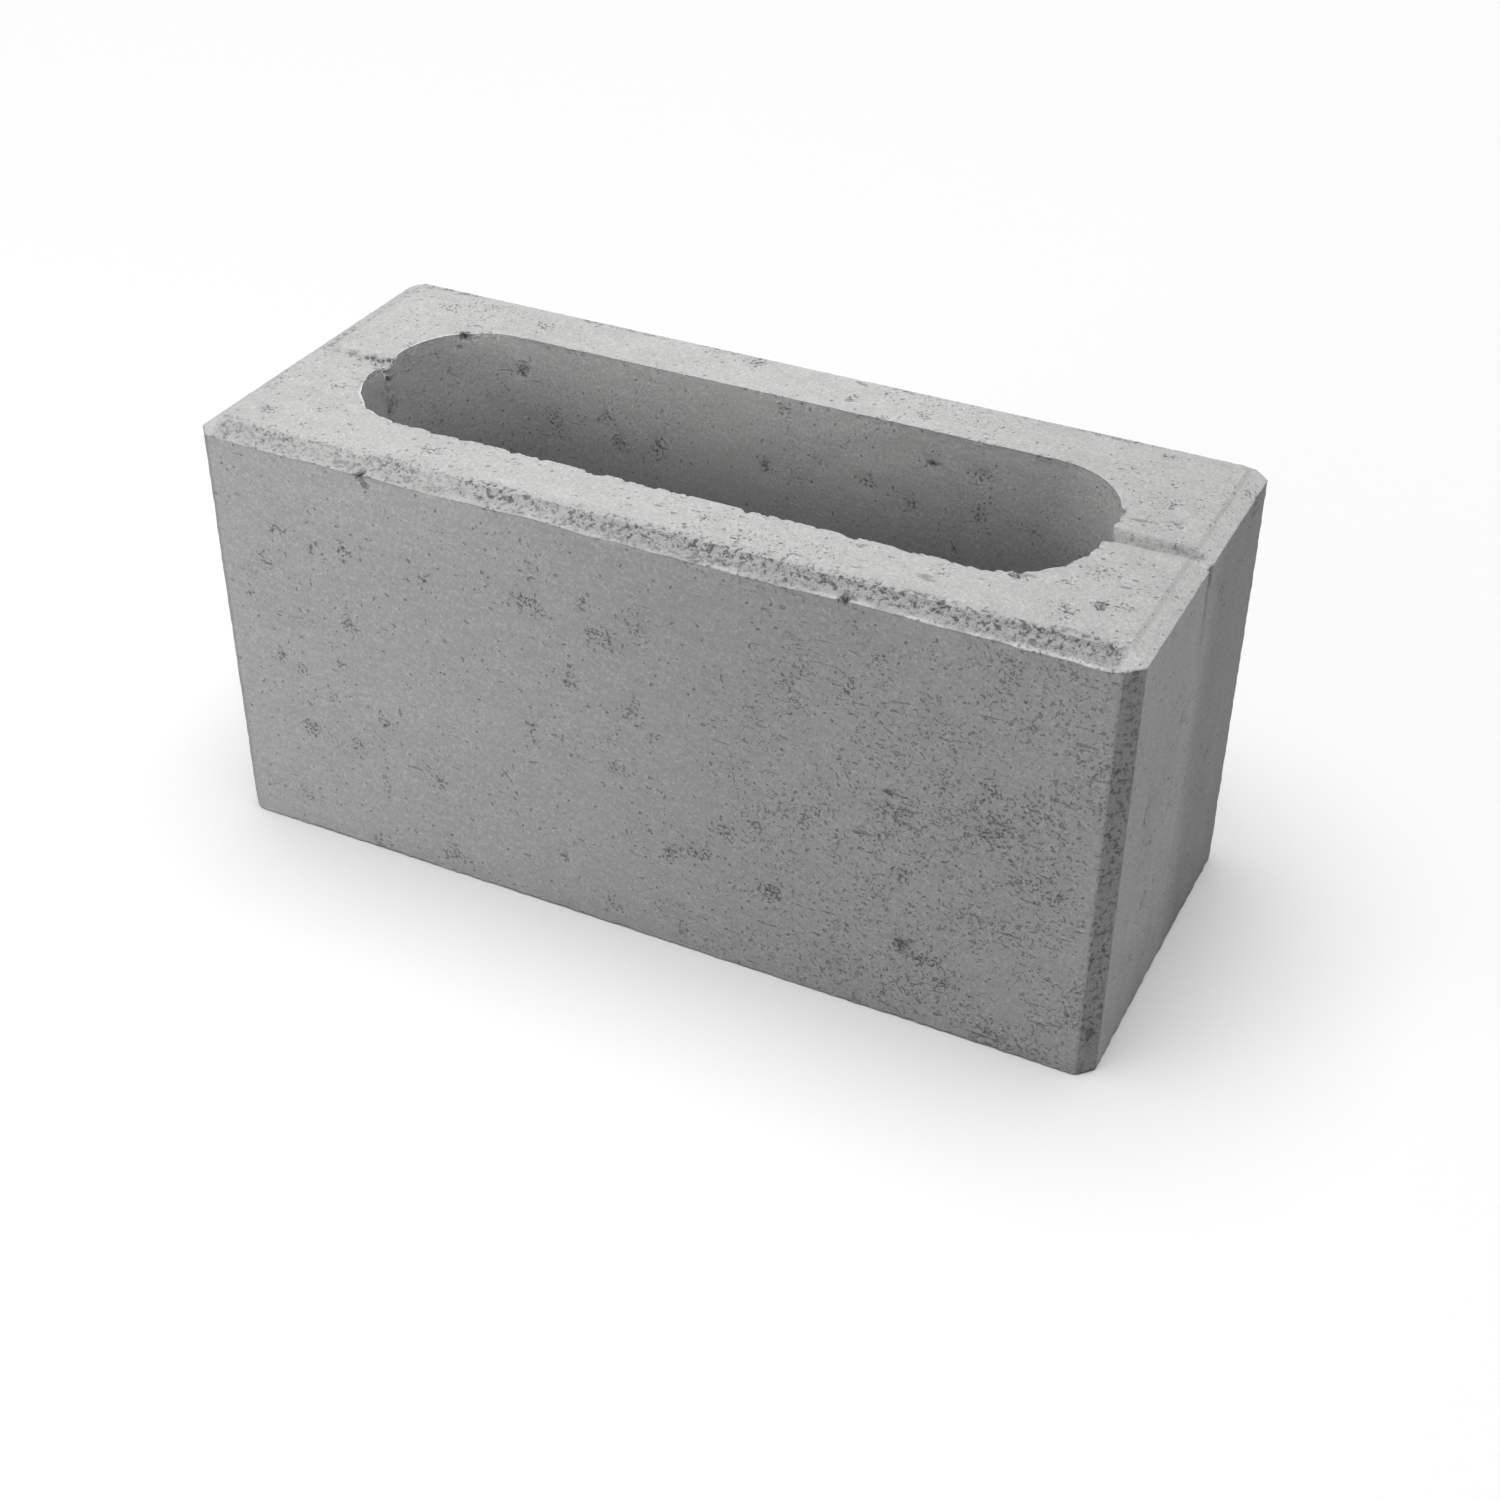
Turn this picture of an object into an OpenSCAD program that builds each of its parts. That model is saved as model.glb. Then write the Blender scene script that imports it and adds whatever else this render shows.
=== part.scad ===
// Hollow concrete wall block: a pressed prism with one long core hole from top to bottom,
// chamfered upper edges and corners, and a splitting notch that rings each end wall.
// Millimetres, +X along the block, +Z up, origin at the centre of the underside.

/* [Block] */
// Length, along X
block_l = 390; // [200:5:600]
// Thickness, along Y
block_t = 160; // [120:2:300]
// Height, along Z
block_h = 188; // [80:2:300]

/* [Edges] */
// How far the chamfer round the top runs in from each face
top_chamfer_run = 8; // [2:0.5:12]
// How far that chamfer drops down each face
top_chamfer_drop = 5; // [1:0.5:12]
// Chamfer on each upright corner, along both faces
corner_chamfer = 6; // [2:0.5:12]

/* [Core hole] */
// Wall between the core hole and each long face
side_wall = 36; // [20:1:45]
// Wall between the core hole and each end face
end_wall = 40; // [25:1:60]
// Radius of the core hole's corners, limited by its width
core_corner_r = 36; // [5:1:60]

/* [Splitting notch] */
// Width of the notch across the top of each end wall
top_notch_w = 12; // [8:1:30]
// Flat width at the bottom of the top notch
top_notch_floor = 2; // [1:0.5:7]
// Depth of the top notch
top_notch_d = 5; // [2:0.5:20]
// Width of the groove down each end face
end_groove_w = 4; // [3:0.5:20]
// Depth of the groove down each end face
end_groove_d = 1.5; // [1:0.5:6]
// Width of the groove down each end of the core hole
core_groove_w = 6; // [3:0.5:8]
// Depth of the groove down each end of the core hole
core_groove_d = 3; // [1:0.5:6]

/* [Hidden] */
$fn = 96;
concrete = [0.66, 0.66, 0.65];
// Cutting shapes run this far past the faces that they cut
past = 1;
core_l = block_l - 2 * end_wall;
core_w = block_t - 2 * side_wall;
// A wider radius than this would leave no straight wall at the core hole's ends
core_r = min(core_corner_r, core_w / 2 - core_groove_w / 2);

// Outline of a box l long and t wide with its four corners cut
module cut_corner_outline(l, t, cut) {
    polygon([
        [-l / 2 + cut, -t / 2], [l / 2 - cut, -t / 2],
        [l / 2, -t / 2 + cut], [l / 2, t / 2 - cut],
        [l / 2 - cut, t / 2], [-l / 2 + cut, t / 2],
        [-l / 2, t / 2 - cut], [-l / 2, -t / 2 + cut]
    ]);
}

// Upright outline of the block, w wide, with its two upper corners cut
module chamfered_upright_outline(w) {
    polygon([
        [-w / 2, 0], [w / 2, 0],
        [w / 2, block_h - top_chamfer_drop],
        [w / 2 - top_chamfer_run, block_h],
        [-w / 2 + top_chamfer_run, block_h],
        [-w / 2, block_h - top_chamfer_drop]
    ]);
}

// The pressed prism, before anything is cored out of it
module prism() {
    intersection() {
        linear_extrude(block_h)
            cut_corner_outline(block_l, block_t, corner_chamfer);
        rotate([90, 0, 0])
            linear_extrude(block_t, center = true)
                chamfered_upright_outline(block_l);
        rotate([90, 0, 90])
            linear_extrude(block_l, center = true)
                chamfered_upright_outline(block_t);
    }
}

// The core hole: upright, straight-sided, with round corners
module core_hole() {
    tall = block_h + 2 * past;
    translate([0, 0, -past]) {
        translate([-core_l / 2 + core_r, -core_w / 2, 0])
            cube([core_l - 2 * core_r, core_w, tall]);
        translate([-core_l / 2, -core_w / 2 + core_r, 0])
            cube([core_l, core_w - 2 * core_r, tall]);
        for (x = [-1, 1], y = [-1, 1])
            translate([x * (core_l / 2 - core_r), y * (core_w / 2 - core_r), 0])
                cylinder(h = tall, r = core_r);
    }
}

// Notch across the top of both end walls, with sloping sides and a narrow floor
module top_notch() {
    slope_run = (top_notch_w - top_notch_floor) / 2;
    wide = top_notch_w / 2 + slope_run * past / top_notch_d;
    translate([0, 0, block_h])
        rotate([90, 0, 90])
            linear_extrude(block_l + 2 * past, center = true)
                polygon([
                    [-wide, past], [-top_notch_floor / 2, -top_notch_d],
                    [top_notch_floor / 2, -top_notch_d], [wide, past]
                ]);
}

// Upright V groove, w wide at the face and d deep, cutting towards +X from x = 0
module upright_groove(w, d) {
    wide = w / 2 * (1 + past / d);
    translate([0, 0, -past])
        linear_extrude(block_h + 2 * past)
            polygon([[-past, -wide], [d, 0], [-past, wide]]);
}

module block() {
    color(concrete)
        difference() {
            prism();
            core_hole();
            top_notch();
            for (side = [0, 180])
                rotate([0, 0, side]) {
                    translate([-block_l / 2, 0, 0])
                        upright_groove(end_groove_w, end_groove_d);
                    translate([core_l / 2, 0, 0])
                        upright_groove(core_groove_w, core_groove_d);
                }
        }
}

block();
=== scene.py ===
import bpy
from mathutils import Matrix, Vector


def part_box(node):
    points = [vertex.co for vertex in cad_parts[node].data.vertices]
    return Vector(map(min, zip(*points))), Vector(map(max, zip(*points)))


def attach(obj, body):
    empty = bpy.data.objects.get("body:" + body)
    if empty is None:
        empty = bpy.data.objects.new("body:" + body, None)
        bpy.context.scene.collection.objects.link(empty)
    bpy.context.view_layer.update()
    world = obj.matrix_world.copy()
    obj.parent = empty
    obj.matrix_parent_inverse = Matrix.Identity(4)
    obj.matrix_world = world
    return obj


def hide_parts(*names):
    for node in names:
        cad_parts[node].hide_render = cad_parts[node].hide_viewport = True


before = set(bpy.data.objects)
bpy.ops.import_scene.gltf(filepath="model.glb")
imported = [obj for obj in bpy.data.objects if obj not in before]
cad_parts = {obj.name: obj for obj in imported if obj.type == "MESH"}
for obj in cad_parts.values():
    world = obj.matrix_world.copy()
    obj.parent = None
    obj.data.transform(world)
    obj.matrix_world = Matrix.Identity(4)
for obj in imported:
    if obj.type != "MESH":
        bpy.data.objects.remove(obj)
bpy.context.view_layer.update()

import math
import random

import bmesh
import bpy
from mathutils import Quaternion, Vector, kdtree, noise

# ---------------------------------------------------------------------------------------------
# THE CONCRETE BLOCK
# A hollow wall block of grey cement and fine sand. The damp mix is pressed in a steel mould, in
# one piece, round a bar that leaves the core hole, and a plate on top presses the shoulder. It
# stands loose: blocks are laid in courses, and split along the line that rings their end walls.
# ---------------------------------------------------------------------------------------------
mm = 0.001
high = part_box("block")[1]
half_l = high.x
half_t = high.y
height = high.z
end_wall = 40 * mm
side_wall = 36 * mm
core_corner = 36 * mm
corner_cut = 6 * mm
shoulder_run = 8 * mm
shoulder_drop = 5 * mm
shoulder_cut = 3 * mm
core_half_l = half_l - end_wall
core_half_t = half_t - side_wall

# The plan is three outlines, the core hole, the shoulder where the flat top ends, and the outer
# faces. They are walked together, leg by leg, so that their points face each other.
arc_steps = 24
cut_starts, cut_ends = 9, 15
by_the_notch = 10 * mm
leg_steps = [12, 36, 5, 126, 5, 36, 24, 36, 5, 256, 5, 36, 12]


def outline(reach_x, reach_y, corner, steps, middle):
    """A box's outline, anticlockwise from the middle of its right end, with round or cut corners."""
    points = [(reach_x, 0), (reach_x, middle)]
    for quarter, (side_x, side_y) in enumerate(((1, 1), (-1, 1), (-1, -1), (1, -1))):
        for step in range(steps + 1):
            angle = math.radians(90 * (quarter + step / steps))
            x = side_x * (reach_x - corner) + corner * math.cos(angle)
            y = side_y * (reach_y - corner) + corner * math.sin(angle)
            points.append((x, y))
        if quarter == 1:
            points += [(-reach_x, middle), (-reach_x, -middle)]
    points += [(reach_x, -middle), (reach_x, 0)]
    return [Vector((x, y, 0)) for x, y in points]


def walk(points, steps):
    """Evenly spaced points along a chain of points, from its first to just short of its last."""
    lengths = [(b - a).length for a, b in zip(points, points[1:])]
    whole = sum(lengths)
    found = []
    for step in range(steps):
        left = whole * step / steps
        leg = 0
        while left > lengths[leg] and leg < len(lengths) - 1:
            left -= lengths[leg]
            leg += 1
        share = left / lengths[leg] if lengths[leg] > 0 else 0
        found.append(points[leg].lerp(points[leg + 1], share))
    return found


outer_line = outline(half_l, half_t, corner_cut, 1, by_the_notch)
shoulder_line = outline(half_l - shoulder_run, half_t - shoulder_run, shoulder_cut, 1, by_the_notch)
core_line = outline(core_half_l, core_half_t, core_corner, arc_steps, core_half_t - core_corner)

# The core hole's round corners have more points, so the places in it where legs end are counted
core_stops = [0, 1]
arc_starts = 2
for quarter in range(4):
    core_stops += [arc_starts + cut_starts, arc_starts + cut_ends]
    arc_starts += arc_steps + 1
    if quarter == 1:
        core_stops += [arc_starts, arc_starts + 1]
        arc_starts += 2
core_stops += [arc_starts, arc_starts + 1]

core_ring, shoulder_ring, outer_ring = [], [], []
for leg, steps in enumerate(leg_steps):
    outer_ring += walk(outer_line[leg:leg + 2], steps)
    shoulder_ring += walk(shoulder_line[leg:leg + 2], steps)
    core_ring += walk(core_line[core_stops[leg]:core_stops[leg + 1] + 1], steps)
ring_steps = len(outer_ring)

# The wall's section is spun round the core hole, and then pulled out to the plan. Its rows lie
# close together at the top, where the plate leaves the roughest edges. Each line says where a
# stretch of the section starts, as across and up, and how many rows it has.
CORE, SHOULDER, OUTER = 1, 2, 3
section = [
    ((CORE, 0), 2),
    ((CORE, 3 * mm), 26),
    ((CORE, height - 34 * mm), 10),
    ((CORE, height - 10 * mm), 8),
    ((CORE, height), 5),
    ((CORE + 0.14, height), 16),
    ((SHOULDER, height), 11),
    ((OUTER, height - shoulder_drop), 7),
    ((OUTER, height - shoulder_drop - 7 * mm), 60),
    ((OUTER, 4 * mm), 4),
    ((OUTER, 0), 2),
    ((OUTER - 0.3, 0), 2),
    ((SHOULDER, 0), 6),
    ((CORE + 0.1, 0), 1),
]
body = bmesh.new()
corners = [body.verts.new((across, 0, up)) for (across, up), rows in section]
sides = [body.edges.new(pair) for pair in zip(corners, corners[1:] + corners[:1])]
for side, (_, rows) in zip(sides, section):
    if rows > 1:
        bmesh.ops.subdivide_edges(body, edges=[side], cuts=rows - 1)
bmesh.ops.spin(
    body,
    geom=body.verts[:] + body.edges[:],
    cent=(0, 0, 0),
    axis=(0, 0, 1),
    angle=2 * math.pi,
    steps=ring_steps,
    use_merge=True,
)

# The spin's join leaves its edges and faces in no fixed order, so they are put in one
body.verts.index_update()
vert_count = len(body.verts)


def place_in_order(part):
    """A number for an edge or a face, from the lowest and the highest of its points."""
    numbers = [v.index for v in part.verts]
    return min(numbers) * vert_count + max(numbers)


body.edges.sort(key=place_in_order)
body.faces.sort(key=place_in_order)

across_layer = body.verts.layers.float.new("across")
away_layer = body.verts.layers.float_vector.new("away")
for v in body.verts:
    across = math.hypot(v.co.x, v.co.y)
    turn = math.atan2(v.co.y, v.co.x) / (2 * math.pi) * ring_steps
    station = round(turn) % ring_steps
    inside, middle, outside = core_ring[station], shoulder_ring[station], outer_ring[station]
    if across < SHOULDER:
        plan = inside.lerp(middle, across - CORE)
    else:
        plan = middle.lerp(outside, across - SHOULDER)
    v[across_layer] = across
    v[away_layer] = middle - inside
    v.co = Vector((plan.x, plan.y, v.co.z))
bmesh.ops.recalc_face_normals(body, faces=body.faces[:])
body.normal_update()
sharpest_smooth = math.radians(22)
for edge in body.edges:
    edge.smooth = edge.calc_face_angle(0) < sharpest_smooth


# Pressed concrete is never flat: the faces wander by a few tenths of a millimetre, the front
# shoulder is torn where the plate lifts, the core hole's rim crumbles, and voids open up. All of
# it goes into the solid, so the block keeps its mould size.
def ramp(value, start, end):
    """0 at start and 1 at end, and smooth between."""
    share = min(max((value - start) / (end - start), 0), 1)
    return share * share * (3 - 2 * share)


def wander(place, size, seed):
    """Smooth unevenness of that size, from about -1 to 1."""
    return noise.noise(place / size + Vector((seed * 7.3, seed * 3.1, seed * 5.7)))


def crumble(place, size, seed):
    """Rough, many-sized unevenness, from 0 to 1."""
    at = place / size + Vector((seed * 4.9, seed * 8.3, seed * 2.7))
    return min(max(0.5 + 0.6 * noise.fractal(at, 0.8, 2.1, 3), 0), 1)


# Chips that stand out along the edges and on the top: place, radius and depth in millimetres. All
# get painted shade in their hollows, and the first few so much that they look black.
shaded_black_chips = 4
chips = [
    ((-152, -72, 185), 2.8, 1.6), ((-117, -79, 183), 2.8, 1.3), ((86, -79, 183), 2.8, 2.0),
    ((-142, 37, 187), 3.0, 0.9), ((151, 20, 187), 1.8, 1.4), ((150, -8, 187), 2.2, 1.2),
    ((183, 68, 186), 2.0, 1.0), ((170, -50, 188), 2.4, 0.9), ((192, -77, 20), 3.0, 1.2),
]
# Crowds of small voids in the front: place along and up, radius and depth in millimetres
front_crowds = [
    (-161, 147, 3.0, 0.5), (-144, 143, 2.0, 0.9), (-129, 146, 4.0, 0.3), (-168, 130, 3.5, 0.3),
    (-176, 113, 2.0, 0.5), (-130, 112, 3.5, 0.4), (-165, 87, 2.2, 0.8), (-155, 83, 3.2, 0.3),
    (-134, 91, 2.6, 0.3), (-140, 73, 2.8, 0.3), (-117, 68, 3.0, 0.4), (-154, 54, 3.4, 0.7),
    (-131, 52, 3.6, 0.4), (-91, 45, 3.6, 0.3), (-119, 38, 2.4, 0.3), (-160, 15, 2.2, 0.6),
    (-88, 10, 4.4, 0.5), (-125, 4, 2.0, 0.5), (-60, 62, 2.2, 0.5), (-45, 87, 2.6, 0.5),
    (-28, 116, 4.0, 0.2), (-45, 145, 3.6, 0.4), (-90, 143, 3.6, 0.3), (-12, 140, 4.2, 0.4),
    (-20, 151, 2.8, 0.3), (1, 110, 3.4, 0.4), (8, 99, 2.4, 0.5), (-8, 80, 3.0, 0.8),
    (16, 46, 3.2, 0.9), (30, 51, 4.2, 0.6), (40, 64, 4.6, 0.6), (52, 74, 2.6, 0.5),
    (-33, 28, 2.2, 0.7), (-12, 12, 3.0, 0.5), (20, 10, 2.8, 0.6), (61, 43, 4.6, 0.8),
    (115, 37, 4.0, 1.2), (126, 33, 4.4, 0.6), (133, 24, 3.6, 0.8), (88, 146, 3.8, 0.5),
    (65, 141, 4.4, 0.4), (158, 150, 3.6, 0.6), (145, 120, 4.2, 0.5), (107, 100, 4.0, 0.4),
    (147, 100, 5.0, 0.6), (75, 83, 3.2, 0.4), (174, 80, 5.0, 0.5), (115, 70, 3.6, 0.4),
]
# Crowds in the core hole's back wall: place along and up, radius and depth in millimetres
core_crowds = [
    (-118, 172, 3.0, 0.9), (-131, 161, 2.4, 0.6), (-77, 158, 3.0, 0.5), (-73, 149, 3.4, 0.9),
    (-4, 155, 3.2, 0.6), (20, 162, 2.6, 0.4), (42, 158, 3.0, 0.5), (69, 173, 2.4, 1.0),
    (61, 153, 2.6, 0.5), (90, 154, 3.0, 0.5), (112, 152, 2.4, 0.8), (81, 138, 2.8, 0.7),
]
# Crowds in the right end: place across and up, radius and depth in millimetres
end_crowds = [(-58, 62, 2.0, 0.7), (-49, 80, 1.7, 0.4), (-37, 84, 1.8, 0.5), (-22, 140, 2.4, 0.3)]
# Crowds on the top: place along and across, radius and depth in millimetres
top_crowds = [
    (-166, -12, 2.2, 0.3), (-160, -28, 2.4, 0.3), (-98, -58, 2.5, 0.3), (-160, 55, 3.0, 0.3),
    (-145, 66, 2.5, 0.3), (163, -27, 3.4, 0.3), (153, -40, 2.6, 0.2), (179, -47, 2.4, 0.4),
    (170, 30, 2.2, 0.3), (112, -54, 2.6, 0.2), (20, -57, 2.6, 0.3), (60, 56, 2.8, 0.3),
]
voids = [(Vector(place) * mm, radius * mm, depth * mm) for place, radius, depth in chips]
for along, up, radius, depth in front_crowds:
    voids.append((Vector((along * mm, -half_t, up * mm)), radius * mm, depth * mm))
for along, up, radius, depth in core_crowds:
    voids.append((Vector((along * mm, core_half_t, up * mm)), radius * mm, depth * mm))
for over, up, radius, depth in end_crowds:
    voids.append((Vector((half_l, over * mm, up * mm)), radius * mm, depth * mm))
for along, over, radius, depth in top_crowds:
    voids.append((Vector((along * mm, over * mm, height)), radius * mm, depth * mm))

# The other faces get voids by chance, more of them in some patches than in others
luck = random.Random(11)
areas = [f.calc_area() for f in body.faces]
for face in luck.choices(body.faces[:], weights=areas, k=460):
    middle = face.calc_center_median()
    chance = luck.random()
    radius = (1.8 + 2.6 * luck.random() ** 2) * mm
    depth = (0.15 + 0.45 * luck.random()) * mm
    in_core = abs(middle.x) < core_half_l + mm and abs(middle.y) < core_half_t + mm
    if in_core:
        chance, depth = 0.7 * chance, 2.0 * depth
    on_front = middle.y < -half_t + mm
    if not on_front and chance < 0.6 * ramp(wander(middle, 30 * mm, 14), -0.35, 0.3):
        voids.append((middle, radius, depth))
void_tree = kdtree.KDTree(len(voids))
for number, (middle, radius, depth) in enumerate(voids):
    void_tree.insert(middle, number)
void_tree.balance()
widest_void = max(radius for middle, radius, depth in voids)


def void_at(place):
    """How deep the voids go at a place, how much painted shade their hollows get, and how pitted it
    is round them.
    """
    deepest, darkest, pitted = 0, 0, 0
    for middle, number, distance in void_tree.find_range(place, widest_void * 2.2):
        radius, depth = voids[number][1:]
        share = distance / radius * (1 + 0.35 * wander(place, 1.7 * mm, number % 17))
        spread = share * (1 + 0.9 * wander(place, 5 * mm, number % 13))
        strength = 0.80 + 0.35 * min(depth / (0.9 * mm), 1)
        pitted = max(pitted, strength * (1 - ramp(spread, 0.3, 2.0)))
        if share < 1:
            deepest = max(deepest, depth * (1 - share * share))
            dark = 1.3 if number < len(chips) else ramp(depth, 0.3 * mm, 1.4 * mm)
            if number < shaded_black_chips:
                dark = 3.0
            darkest = max(darkest, min((1 - share) * dark, 1.3))
    return deepest, darkest, pitted


def pressed_skin(place):
    """The skin at a place: how far it lies below the mould's face, its tone, and how pitted it is."""
    depth = (0.16 + 0.14 * wander(place, 70 * mm, 1)) * mm
    depth += 0.08 * mm * (1 + wander(place, 3.4 * mm, 4))
    patch = wander(place, 60 * mm, 51) + 0.5 * wander(place, 21 * mm, 52)
    tone = 1 + 0.035 * patch + 0.02 * wander(place, 8 * mm, 55)
    pitted = 0.10 + 0.30 * wander(place, 34 * mm, 53) + 0.30 * wander(place, 11 * mm, 54)
    return depth, tone, pitted


# How far the wear of the core hole's wall fades out into the top and the underside, how far down
# its rim crumbles, and how far to each side its seam reaches
wall_fades, seam_fades = 6 * mm, 16 * mm
rim_reach = 14 * mm
seam_reach = 5 * mm


def core_wear(place, across, away):
    """Where the wear of the core hole's wall moves a place to, and how torn it looks there."""
    from_wall = (across - CORE) * away.length
    if from_wall >= seam_fades:
        return place, 0
    torn = 0
    on_wall = across < CORE + 0.001
    root = place - away * (across - CORE)
    at_wall = 1 - ramp(from_wall, 0, wall_fades)
    push = at_wall * (0.1 + 0.3 * crumble(root, 11 * mm, 9)) * mm
    if abs(root.x) > core_half_l - mm and abs(root.y) < seam_reach:
        seam = 1 - abs(root.y) / seam_reach
        ragged = crumble(root, 4 * mm, 12)
        push += seam * (1.2 + 2.2 * ragged) * mm * (1 - ramp(from_wall, 0, seam_fades))
        torn = at_wall * seam * (0.5 + 0.8 * ragged)
    sunk = 0
    if place.z > height - rim_reach:
        broken = crumble(Vector((root.x, root.y, 0)), 6 * mm, 6)
        crumbled = (0.3 + 3.0 * max(broken - 0.5, 0)) * mm
        to_rim = max(height - place.z, from_wall)
        at_rim = math.exp(-(to_rim / (2.0 * mm)) ** 2)
        push += crumbled * (at_rim if on_wall else at_wall)
        sunk = 0.7 * crumbled * (ramp(place.z, height - rim_reach, height) if on_wall else at_rim)
        torn = max(torn, 0.9 * at_rim * ramp(broken, 0.52, 0.75))
    return place - Vector((0, 0, sunk)) + away.normalized() * push, torn


def front_share(place):
    """1 over the front shoulder, fading out at its two corners and at the back."""
    along = 1 - ramp(abs(place.x), half_l - corner_cut - 6 * mm, half_l - corner_cut)
    return along * ramp(-place.y, half_t - shoulder_run - 4 * mm, half_t - shoulder_run - mm)


def torn_shoulder(place, across):
    """How deep the front shoulder is torn, and how torn it looks. Its outer edge keeps a thin lip."""
    along = Vector((place.x, 0, 0))
    down = across - SHOULDER + 0.22 * wander(along, 17 * mm, 3) + 0.12 * wander(along, 5 * mm, 4)
    to_right = ramp(place.x, -150 * mm, 20 * mm)
    bite = 0.25 + 0.8 * to_right + (1.9 - 1.4 * to_right) * wander(along, 15 * mm, 5)
    bite = min(max(bite, 0), 1.4)
    ragged = ramp(down, -0.35, -0.05) * (1 - ramp(down, 0.45, 0.85))
    slope = ramp(down, 0.0, 0.3) * (1 - ramp(down, 0.8, 0.95))
    lip_gone = ramp(wander(along, 13 * mm, 8), 0.28, 0.42) * ramp(down, 0.7, 0.85)
    rough = crumble(place, 4.5 * mm, 2)
    depth = bite * (0.4 + 0.9 * rough) * ragged + (0.7 + 0.3 * rough) * slope + 0.8 * lip_gone
    return depth * mm, max(1.25 * bite * ragged, 0.45 * slope, 0.4 * lip_gone)


def shoulder_tone(place, across, front):
    """The front shoulder is darker than the top, more so to the right, and its lip is pale."""
    lip = ramp(across, OUTER - 0.28, OUTER - 0.08) * ramp(place.x, -90 * mm, 0)
    lip *= ramp(wander(Vector((place.x, 0, 0)), 12 * mm, 43), -0.35, 0.1)
    on_shoulder = front * ramp(across, SHOULDER - 0.1, SHOULDER + 0.2)
    to_right = 0.35 + 0.95 * ramp(place.x, -half_l, half_l)
    return 1 - on_shoulder * (0.20 - 0.28 * lip) * to_right


def edge_wave(place, up, front):
    """How far the front's upper edge sags in waves below the shoulder."""
    near_edge = ramp(up, height - shoulder_drop - 12 * mm, height - shoulder_drop)
    along = Vector((place.x, 0, 0))
    wavy = 0.5 + wander(along, 34 * mm, 41) + 0.5 * wander(along, 11 * mm, 42)
    return 1.1 * mm * front * near_edge * wavy


def score_line(place, up):
    """1 along the line that runs down the middle of each end, deepest near the top."""
    off_line = abs(place.y - 1.1 * mm * wander(Vector((0, 0, up)), 14 * mm, 31))
    return max(1 - off_line / (2.4 * mm), 0) * (0.12 + 0.88 * ramp(up, height - 52 * mm, height))


notch_reach = 16 * mm


def notch_drop(place):
    """How far the splitting notch lowers the top: full on the right wall, tapered on the left."""
    from_core = abs(place.x) - core_half_l
    if from_core < -2 * mm:
        return 0
    out = min(max(from_core / end_wall, 0), 1)
    mouth = 2.4 * mm * math.exp(-max(from_core, 0) / (4 * mm))
    aside = place.y - 0.9 * mm * wander(Vector((place.x, 0, 0)), 16 * mm, 23)
    if place.x > 0:
        half_width, depth = 5.4 * mm + (mouth if aside < 0 else 0.4 * mouth), 4.9 * mm
    else:
        half_width, depth = (6.2 - 3.6 * out) * mm + mouth, (4.8 - 3.4 * out) * mm
    half_width += 0.6 * mm * wander(place, 9 * mm, 21)
    return depth * (1 - ramp(abs(aside) / half_width, 0.28, 1.0))
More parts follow.
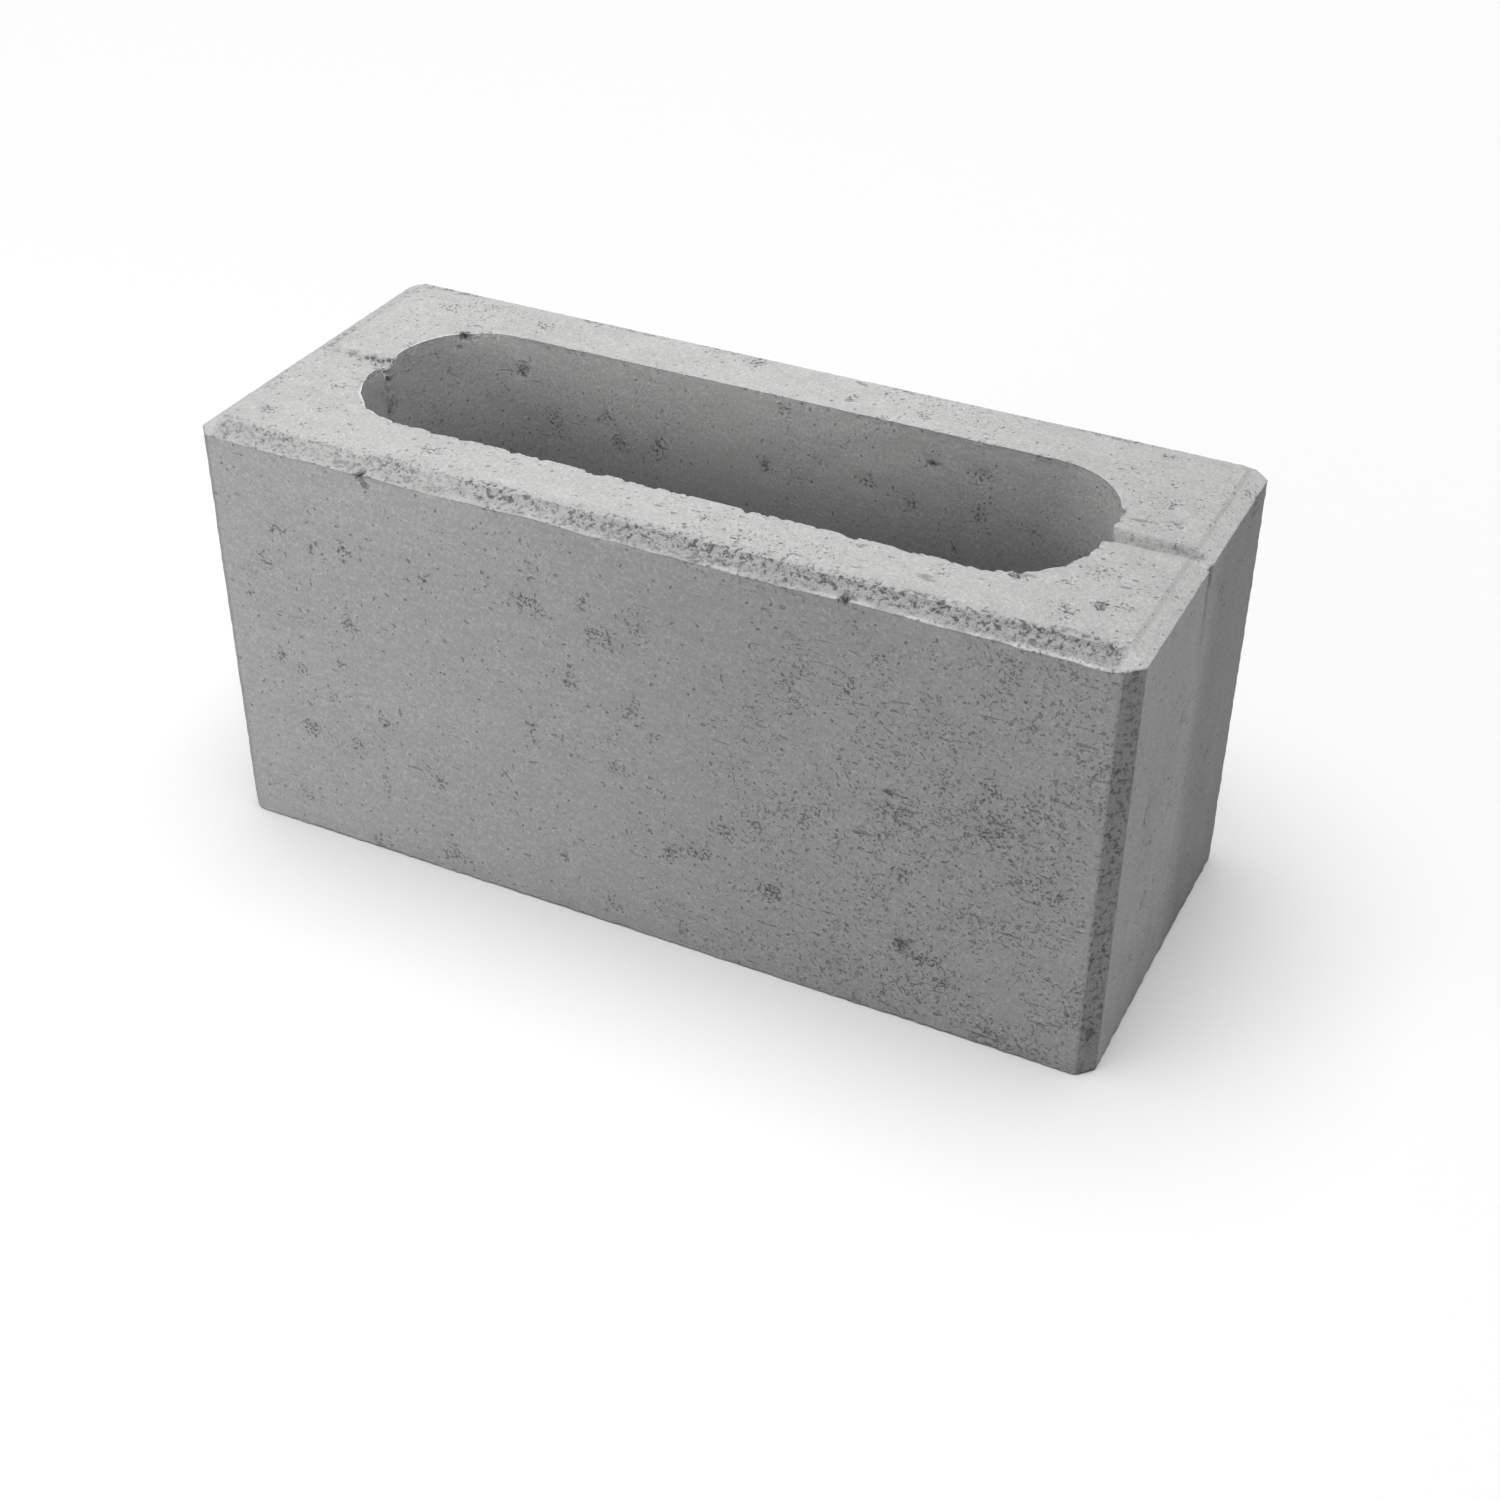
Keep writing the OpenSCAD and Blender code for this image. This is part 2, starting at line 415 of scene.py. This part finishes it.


# The relief moves each point into the solid, and leaves four values there for the concrete's
# finish: the painted shade in its hollows, how torn, how pitted, and its tone, with painted light and
# shade in it
hollow_shade_layer = body.verts.layers.float.new("hollow")
torn_layer = body.verts.layers.float.new("torn")
pitted_layer = body.verts.layers.float.new("pitted")
tone_layer = body.verts.layers.float.new("tone")
across_layer = body.verts.layers.float["across"]
away_layer = body.verts.layers.float_vector["away"]
foot = 4 * mm
cut_x, cut_y = half_l - corner_cut - 0.1 * mm, half_t - corner_cut - 0.1 * mm
for v in body.verts:
    place, normal, across = v.co.copy(), v.normal.copy(), v[across_layer]
    up = place.z
    depth, tone, pitted = pressed_skin(place)
    line = 0

    place, torn = core_wear(place, across, v[away_layer])
    on_core_wall = across < CORE + 0.001
    if on_core_wall:
        # Painted shade: the core hole's wall is painted darker further down, where the hole shades
        # it, and a little darker in its top 5 mm
        pitted += 0.08
        tone *= 0.68 + 0.86 * ramp(up, height - 76 * mm, height)
        tone *= 1 - 0.2 * ramp(up, height - 5 * mm, height)
        # Painted light: the wall is painted lighter at its left end, where the light from the front
        # left falls, and darker to the right
        to_left = ramp(-place.x, 105 * mm, 150 * mm)
        to_right = ramp(place.x, 10 * mm, 90 * mm) - 0.5 * ramp(place.x, 118 * mm, 150 * mm)
        tone *= 1 + 0.25 * to_left - 0.17 * to_right

    front = front_share(place)
    if front > 0 and across > SHOULDER - 0.2 and up > height - shoulder_drop - 0.1 * mm:
        tear, looks = torn_shoulder(place, across)
        depth = depth * (1 - 0.8 * front * ramp(across, OUTER - 0.12, OUTER)) + tear * front
        torn = max(torn, looks * front)
        tone *= shoulder_tone(place, across, front)
        pitted += 0.35 * front

    on_outside = across > OUTER - 0.001
    # Painted shade: the outer faces are painted darker than the top
    if on_outside:
        tone *= 0.88
    if up < foot and across > OUTER - 0.31:
        nibbled = crumble(Vector((place.x, place.y, 0)), 5 * mm, 71) * (1 - up / foot)
        place.z += 0.9 * mm * nibbled * ramp(across, OUTER - 0.3, OUTER)
        depth += 0.3 * mm * nibbled * on_outside

    past_ends, past_sides = abs(place.x) > cut_x, abs(place.y) > cut_y
    if on_outside and past_ends and past_sides:
        # The front right cut is the one that came out rough, and it and the other cuts are painted
        # darker, as painted shade in their rough faces
        depth += 0.4 * mm * crumble(place, 4 * mm, 15)
        rough_shaded_cut = 1 if place.x > 0 and place.y < 0 else 0.4
        looks = 0.75 + 0.3 * wander(place, 16 * mm, 16) - 0.5 * ramp(up, 26 * mm, 12 * mm)
        torn = max(torn, looks * rough_shaded_cut)
        tone *= 1 - 0.31 * rough_shaded_cut
    elif on_outside and place.y < -half_t + mm:
        # The front is painted paler to the left, as painted light falling off to the right, and is
        # smoother to the left and speckled to the right
        to_right = (place.x + half_l) / (2 * half_l)
        tone *= 1.10 - 0.25 * ramp(to_right, 0, 0.75)
        below_edge = ramp(up, height - 38 * mm, height - 8 * mm)
        tone *= 1 + 0.05 * below_edge * (1 - ramp(place.x, 30 * mm, 80 * mm))
        speckled = ramp(to_right + 0.12 * (1 - up / height), 0.42, 0.95)
        pitted += speckled * (0.44 + 0.3 * wander(place, 15 * mm, 57)) - 0.06
    elif on_outside and abs(place.x) > half_l - mm:
        # The ends are streaked from the mould, and the right one is painted darker behind its line,
        # as painted shade
        tone *= 1.05 - 0.26 * ramp(place.y, -6 * mm, 24 * mm) * ramp(place.x, -half_l, half_l)
        tone *= 1 + 0.05 * wander(Vector((0, place.y, 0.12 * up)), 5 * mm, 61)
        tone *= 1 + 0.04 * wander(Vector((0, place.y, 0.3 * up)), 14 * mm, 62)
        pitted += 0.12
        line = score_line(place, up)
        depth += 1.5 * mm * line
    elif up > height - mm:
        # The top is mottled, a little darker to the right, and torn here and there at its back
        pitted += 0.04 * ramp(place.x, -half_l, half_l)
        tone += 0.03 * wander(place, 6 * mm, 56)
        if place.y > 0 and abs(across - SHOULDER) < 0.1:
            torn = max(torn, 0.8 * ramp(wander(Vector((place.x, 0, 0)), 30 * mm, 63), -0.1, 0.2))
        tone *= 1.04 - 0.155 * ramp(place.x, 0, half_l)

    void, dark, crowded = void_at(place)
    torn = min(max(torn, 0), 1)
    if up > height - notch_reach:
        drop = notch_drop(place)
        if on_core_wall:
            place.z -= drop * ramp(up, height - notch_reach, height)
        else:
            place.z = min(place.z, height - drop)
            out = (abs(place.x) - core_half_l) / end_wall
            worn = 1.3 - 1.1 * out if place.x < 0 else 0.4
            torn = max(torn, worn * ramp(drop, 0.3 * mm, 2.2 * mm))
    # Painted shade in the voids, the chips and the score line's groove
    v[hollow_shade_layer] = max(dark, line)
    v[torn_layer] = torn
    v[pitted_layer] = max(min(pitted, 1), crowded, 0)
    v[tone_layer] = tone
    v.co = place - normal * (depth * v.calc_shell_factor() + void)
    if front > 0 and across > SHOULDER + 0.6:
        v.co.z -= edge_wave(place, up, front)

block_mesh = bpy.data.meshes.new("concrete_block")
body.to_mesh(block_mesh)
body.free()
block_mesh.polygons.foreach_set("use_smooth", [True] * len(block_mesh.polygons))
block = bpy.data.objects.new("concrete_block", block_mesh)
bpy.context.scene.collection.objects.link(block)

# The concrete is grey cement with fine sand in it. Its pressed skin is smooth and pale, with
# pinholes, pits and scrapes, and the torn edges show the coarse grey mix below the skin.
concrete = bpy.data.materials.new("pressed_concrete")
concrete.use_nodes = True
tree = concrete.node_tree
tree.nodes.clear()


def add_node(kind, settings=None, **inputs):
    """A shader node with its settings and inputs given; an input that is a socket is linked."""
    made = tree.nodes.new(kind)
    for name, value in (settings or {}).items():
        setattr(made, name, value)
    for name, value in inputs.items():
        socket = int(name[1:]) if name[1:].isdigit() else name.replace("_", " ")
        if isinstance(value, bpy.types.NodeSocket):
            tree.links.new(value, made.inputs[socket])
        else:
            made.inputs[socket].default_value = value
    return made


def grain_of(scale, detail, roughness, where):
    """A noise's value, from 0 to 1, at that many grains per metre."""
    return add_node("ShaderNodeTexNoise", Vector=where, Scale=scale, Detail=detail,
                    Roughness=roughness).outputs[0]


def sums(how, a, b):
    """One sum on two values."""
    return add_node("ShaderNodeMath", {"operation": how}, i0=a, i1=b).outputs[0]


def remap(value, low_in, high_in, low_out=0.0, high_out=1.0):
    """A value moved from one range to another, smoothly, and held inside it."""
    return add_node("ShaderNodeMapRange", {"interpolation_type": "SMOOTHSTEP"}, i0=value,
                    i1=low_in, i2=high_in, i3=low_out, i4=high_out).outputs[0]


def blend(share, a, b):
    """a where the share is 0, b where it is 1."""
    return add_node("ShaderNodeMix", {"data_type": "FLOAT"}, i0=share, i2=a, i3=b).outputs[0]


def painted(name):
    """A value that the relief left on the mesh."""
    return add_node("ShaderNodeAttribute", {"attribute_name": name}).outputs["Fac"]


where = add_node("ShaderNodeTexCoord").outputs["Object"]
scraped_along = add_node("ShaderNodeMapping", Vector=where, Rotation=(0.0, 0.12, 0.05),
                         Scale=(0.14, 0.3, 1.0)).outputs[0]
torn, hollow, pitted = painted("torn"), painted("hollow"), painted("pitted")
sand = grain_of(760.0, 2.0, 0.8, where)
holes = grain_of(720.0, 3.0, 0.72, where)
dots = grain_of(430.0, 1.0, 0.5, where)
crumbs = grain_of(440.0, 3.0, 0.75, where)
scrapes = grain_of(420.0, 2.0, 0.6, scraped_along)

# Pits crowd where the relief says so; pinholes and scrapes lie everywhere
pits = remap(sums("ADD", holes, sums("MULTIPLY", pitted, 0.13)), 0.64, 0.74)
pits = sums("MULTIPLY", pits, remap(pitted, 0.0, 0.45, 0.3, 1.0))
pit_shade = remap(pitted, 0.2, 1.2, 0.92, 0.45)
pinholes = remap(sums("ADD", dots, sums("MULTIPLY", pitted, 0.05)), 0.71, 0.76)
marks = remap(sums("ADD", scrapes, sums("MULTIPLY", pitted, 0.10)), 0.69, 0.77)

# The tone: sand, its palest grains, faint scrapes, dark pinholes and marks, and then the pits
skin = remap(sand, 0.3, 0.7, 0.90, 1.07)
skin = sums("MULTIPLY", skin, remap(sand, 0.57, 0.70, 1.0, 1.14))
skin = sums("MULTIPLY", skin, remap(scrapes, 0.3, 0.7, 0.97, 1.03))
skin = sums("MULTIPLY", skin, remap(sums("MAXIMUM", pinholes, marks), 0.0, 1.0, 1.0, 0.64))
skin = sums("MULTIPLY", skin, blend(pits, 1.0, pit_shade))
crumb_tone = remap(crumbs, 0.37, 0.53, 0.28, 1.0)
tone = blend(torn, skin, crumb_tone)
# Painted shade in the hollows, then the tone left on the mesh, with its painted light and shade
tone = sums("MULTIPLY", tone, remap(hollow, 0.0, 0.8, 1.0, 0.52))
tone = sums("MULTIPLY", tone, remap(hollow, 0.8, 1.3, 1.0, 0.3))
tone = sums("MULTIPLY", tone, painted("tone"))
cement = (0.365, 0.365, 0.361, 1.0)
grey = add_node("ShaderNodeMix", {"data_type": "RGBA"}, i0=tone, i6=(0.0, 0.0, 0.0, 1.0), i7=cement)
grey.clamp_factor = False

# The grain that stands proud or sinks, in millimetres
skin_height = sums("SUBTRACT", sums("MULTIPLY", sand, 0.25), sums("MULTIPLY", pits, 0.50))
skin_height = sums("SUBTRACT", skin_height, sums("MULTIPLY", pinholes, 0.40))
grain_height = blend(torn, skin_height, sums("MULTIPLY", crumbs, 1.3))
bump = add_node("ShaderNodeBump", Strength=1.0, Distance=1 * mm, Height=grain_height)
roughness = remap(sand, 0.3, 0.7, 0.95, 0.82)
surface = add_node("ShaderNodeBsdfPrincipled", Base_Color=grey.outputs[2], Roughness=roughness,
                   Specular_IOR_Level=0.25, Normal=bump.outputs[0])
add_node("ShaderNodeOutputMaterial", Surface=surface.outputs[0])
block_mesh.materials.append(concrete)

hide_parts("block")
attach(block, "root")

# ---------------------------------------------------------------------------------------------
# THE STUDIO
# A pale painted floor that runs out of sight, one broad soft light overhead, a weak one low on
# the front left, and a small soft panel before the front's left end. None of it is the block's.
# ---------------------------------------------------------------------------------------------
floor_half_size = 40
floor_sheet = bmesh.new()
bmesh.ops.create_grid(floor_sheet, x_segments=1, y_segments=1, size=floor_half_size)
floor_mesh = bpy.data.meshes.new("floor")
floor_sheet.to_mesh(floor_mesh)
floor_sheet.free()
studio_floor = bpy.data.objects.new("floor", floor_mesh)
bpy.context.scene.collection.objects.link(studio_floor)
paint = bpy.data.materials.new("floor_paint")
paint.use_nodes = True
matt = paint.node_tree.nodes["Principled BSDF"]
matt.inputs["Base Color"].default_value = (0.62, 0.62, 0.62, 1)
matt.inputs["Roughness"].default_value = 1.0
matt.inputs["Specular IOR Level"].default_value = 0.0
floor_mesh.materials.append(paint)


def add_light(name, kind, power, towards, place=(0, 0, 0), **settings):
    """A lamp at a place, shining towards a direction."""
    lamp = bpy.data.lights.new(name, kind)
    lamp.energy = power
    for setting, value in settings.items():
        setattr(lamp, setting, value)
    made = bpy.data.objects.new(name, lamp)
    made.location = place
    made.rotation_mode = "QUATERNION"
    made.rotation_quaternion = Vector(towards).to_track_quat("-Z", "Y")
    bpy.context.scene.collection.objects.link(made)


add_light("overhead", "SUN", 4.4, (0.03, 0.02, -1), angle=math.radians(60))
add_light("front", "SUN", 0.55, (0.45, 0.62, -0.64), angle=math.radians(90))
add_light("side", "AREA", 2.4, (0.45, 0.9, -0.25), place=(-0.70, -0.85, 0.36), size=0.5)

# The air looks as pale as the floor, but lights the block much less
world = bpy.data.worlds.new("studio_air")
world.use_nodes = True
air = world.node_tree.nodes["Background"]
air.inputs["Color"].default_value = (0.98, 0.98, 0.98, 1)
seen = world.node_tree.nodes.new("ShaderNodeLightPath").outputs["Is Camera Ray"]
level = world.node_tree.nodes.new("ShaderNodeMapRange")
level.inputs["To Min"].default_value = 0.06
level.inputs["To Max"].default_value = 1.0
world.node_tree.links.new(seen, level.inputs["Value"])
world.node_tree.links.new(level.outputs["Result"], air.inputs["Strength"])
bpy.context.scene.world = world
bpy.context.scene.view_settings.view_transform = "Standard"

# The camera stands in front and to the right of the block and above it. It is aimed a little off
# the block's middle, and leans a trace.
middle = Vector((0, 0, height / 2))
turn_round, look_down = math.radians(26.75), math.radians(32.64)
stand_off = 0.938
aim = Vector((0.0202, -0.0179, 0.0588))
lean = math.radians(0.47)
back = Vector((math.sin(turn_round) * math.cos(look_down),
               -math.cos(turn_round) * math.cos(look_down), math.sin(look_down)))
lens = bpy.data.cameras.new("camera")
lens.sensor_width = 36
lens.lens = 54.7
camera = bpy.data.objects.new("camera", lens)
camera.location = middle + back * stand_off
camera.rotation_mode = "QUATERNION"
facing = (aim - camera.location).to_track_quat("-Z", "Y")
camera.rotation_quaternion = facing @ Quaternion((0, 0, 1), lean)
bpy.context.scene.collection.objects.link(camera)
bpy.context.scene.camera = camera
